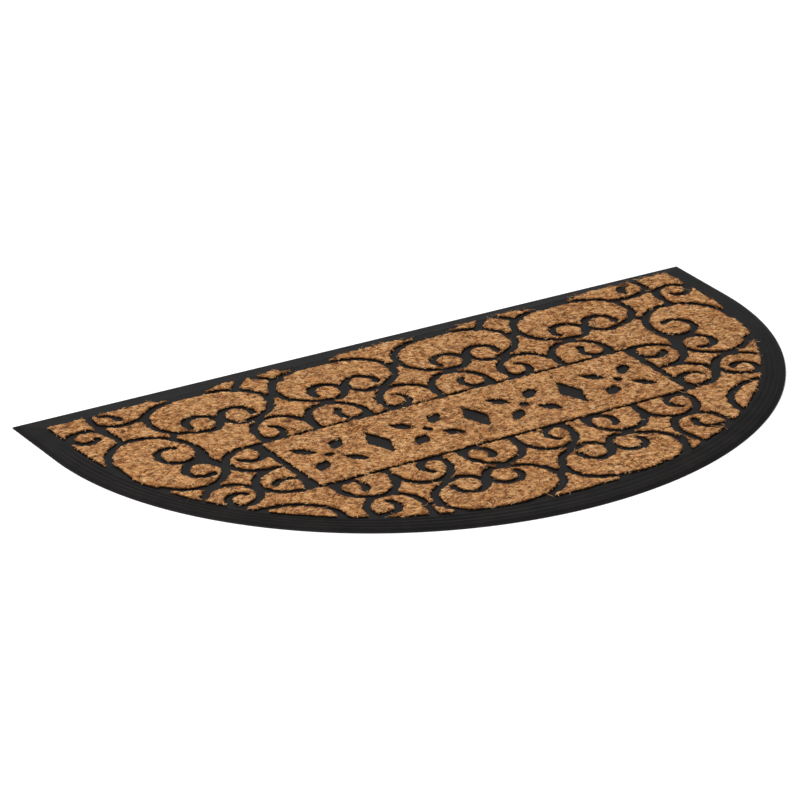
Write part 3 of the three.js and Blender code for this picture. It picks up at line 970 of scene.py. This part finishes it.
offsets = (
    ahead[:, None] * (halves[:, None] * t)[:, :, None]
    + sideways[:, None] * (bends[:, None] * (1 - t**2))[:, :, None]
)
past = past_edge((middles[:, None] + offsets).reshape(-1, 2)).reshape(-1, 4)
shorten = np.where(past > limits[:, None], (limits + inside_by)[:, None] / (past + inside_by[:, None]), 1)
places = middles[:, None] + offsets * np.clip(shorten, 0.05, 1)[:, :, None]
past = past_edge(places.reshape(-1, 2))
surface = pile_surface(places.reshape(-1, 2), np.maximum(-past, 0)) - DROOP * np.maximum(past, 0)
heights = surface.reshape(-1, 4) - SINK + rises[:, None] * (1 - t**2) + rng.normal(0, 0.08, (fibre_count, 4))
heights = np.maximum(heights, FLOOR_HEIGHT + CLEARANCE)
lines = np.concatenate([places, heights[:, :, None]], axis=2)
radii = rng.uniform(THINNEST, THICKEST, fibre_count)
print("mean fibre length", round(2 * halves.mean(), 2), "mm")

# %% [markdown]
# The fibres are shared out over five pieces from left to right, so that no mesh gets too heavy to handle.

# %% Pieces of fibre
FIBRE_PIECES = 5
DARKEST = 0.02
tones = np.clip(tones, DARKEST, 1)
zone = np.argsort(np.argsort(middles[:, 0])) * FIBRE_PIECES // fibre_count
for k in range(FIBRE_PIECES):
    mine = zone == k
    fibre_piece(f"coir_fibres_{k + 1}", lines[mine], radii[mine], tones[mine])
print(fibre_count, "fibres in", FIBRE_PIECES, "pieces")

# %% [markdown]
# The cut walls are fringed as well. Short fibres start just inside the edge, run over it, and hang down the
# wall towards the rubber.

# %% Fibres that hang over the edges
FRINGE = 4200
FRINGE_LEAN = 38  # degrees
FRINGE_TONE, FRINGE_SPREAD = 0.52, 0.15
picked = rng.choice(len(rim_points), FRINGE, replace=False)
lean = np.radians(rng.normal(0, FRINGE_LEAN, FRINGE))
normal = rim_normals[picked]
out_way = np.column_stack([
    normal[:, 0] * np.cos(lean) - normal[:, 1] * np.sin(lean),
    normal[:, 0] * np.sin(lean) + normal[:, 1] * np.cos(lean),
])
reach = rng.gamma(1.8, 0.28, FRINGE)
start = rim_points[picked] - out_way * rng.uniform(0.8, 2.2, FRINGE)[:, None]
t = np.linspace(0, 1, 4)
end = rim_points[picked] + out_way * reach[:, None]
places = start[:, None] * (1 - t)[None, :, None] + end[:, None] * t[None, :, None]
drop = rng.uniform(0.4, 1.6, FRINGE)
heights = PILE_TOP - 0.25 - drop[:, None] * t**2 + rng.normal(0, 0.1, (FRINGE, 4))
fringe = fibre_piece(
    "coir_fringe",
    np.concatenate([places, heights[:, :, None]], axis=2),
    rng.uniform(THINNEST, THICKEST, FRINGE),
    np.clip(FRINGE_TONE + FRINGE_SPREAD * rng.standard_normal(FRINGE), DARKEST, 1),
)

# %% [markdown]
# A new coir mat sheds. Brown and pale fibres have worked loose, and lie over the rubber lines and the border,
# most of them along the straight back edge, with one end still held in the pile.

# %% Where fibres come loose
LOOSE = 300
NEAR_BORDER = 5  # pile edges this near to the border count as beside it
FACING_BACK = 0.6  # how much of an edge's direction points to the back, for it to count as the back edge
inner_field = half_round(*(border + NEAR_BORDER for border in BORDERS), 1)
beside_border = ~points_inside([inner_field], rim_points)
beside_back = beside_border & (rim_normals[:, 1] > FACING_BACK)
likely = np.where(beside_border, 3.0, 0.6) * ease(rim_points[:, 0], -500, 350)
likely *= np.where(beside_back, 5.0, 1.0)
picked = rng.choice(len(rim_points), LOOSE, replace=False, p=likely / likely.sum())
normal = rim_normals[picked]
heading = np.arctan2(normal[:, 1], normal[:, 0]) + np.radians(rng.normal(0, 55, LOOSE))
length = 2.5 + rng.gamma(2.0, 1.6, LOOSE)
curl = np.radians(rng.normal(0, 60, LOOSE))
print(LOOSE, "loose fibres, mean length", round(length.mean(), 1), "mm")

# %% [markdown]
# A loose fibre starts in the pile, runs out over the edge and settles on the rubber, which is higher on the
# border than in the field. Its heights are smoothed, since a fibre is too stiff to follow a step.

# %% Shape of the loose fibres
steps = 8
t = np.linspace(0, 1, steps)
turning = heading[:, None] + curl[:, None] * t
stride = np.stack([np.cos(turning), np.sin(turning)], axis=2) * (length / (steps - 1))[:, None, None]
places = (rim_points[picked] - 2.0 * normal)[:, None] + np.cumsum(stride, axis=1)
past = past_edge(places.reshape(-1, 2)).reshape(LOOSE, steps)
over_border = ~points_inside([field_rim], places.reshape(-1, 2)).reshape(LOOSE, steps)
ground = np.where(over_border, BORDER_HEIGHT, FLOOR_HEIGHT + LINE_CROWN) + CLEARANCE
ground = np.where(past < 0.3, PILE_TOP + 0.4, ground)
lifted = PILE_TOP + rng.uniform(-0.6, 1.8, LOOSE)[:, None] * t - 0.28 * np.maximum(past, 0)
heights = np.maximum(ground, lifted)
for _ in range(2):
    heights[:, 1:-1] = 0.5 * heights[:, 1:-1] + 0.25 * (heights[:, :-2] + heights[:, 2:])
heights = np.maximum(heights, np.where(over_border, BORDER_HEIGHT, FLOOR_HEIGHT) + CLEARANCE)
loose = fibre_piece(
    "coir_loose_fibres",
    np.concatenate([places, heights[:, :, None]], axis=2),
    rng.uniform(0.09, 0.15, LOOSE),
    np.clip(rng.normal(0.48, 0.22, LOOSE), 0.12, 1),
)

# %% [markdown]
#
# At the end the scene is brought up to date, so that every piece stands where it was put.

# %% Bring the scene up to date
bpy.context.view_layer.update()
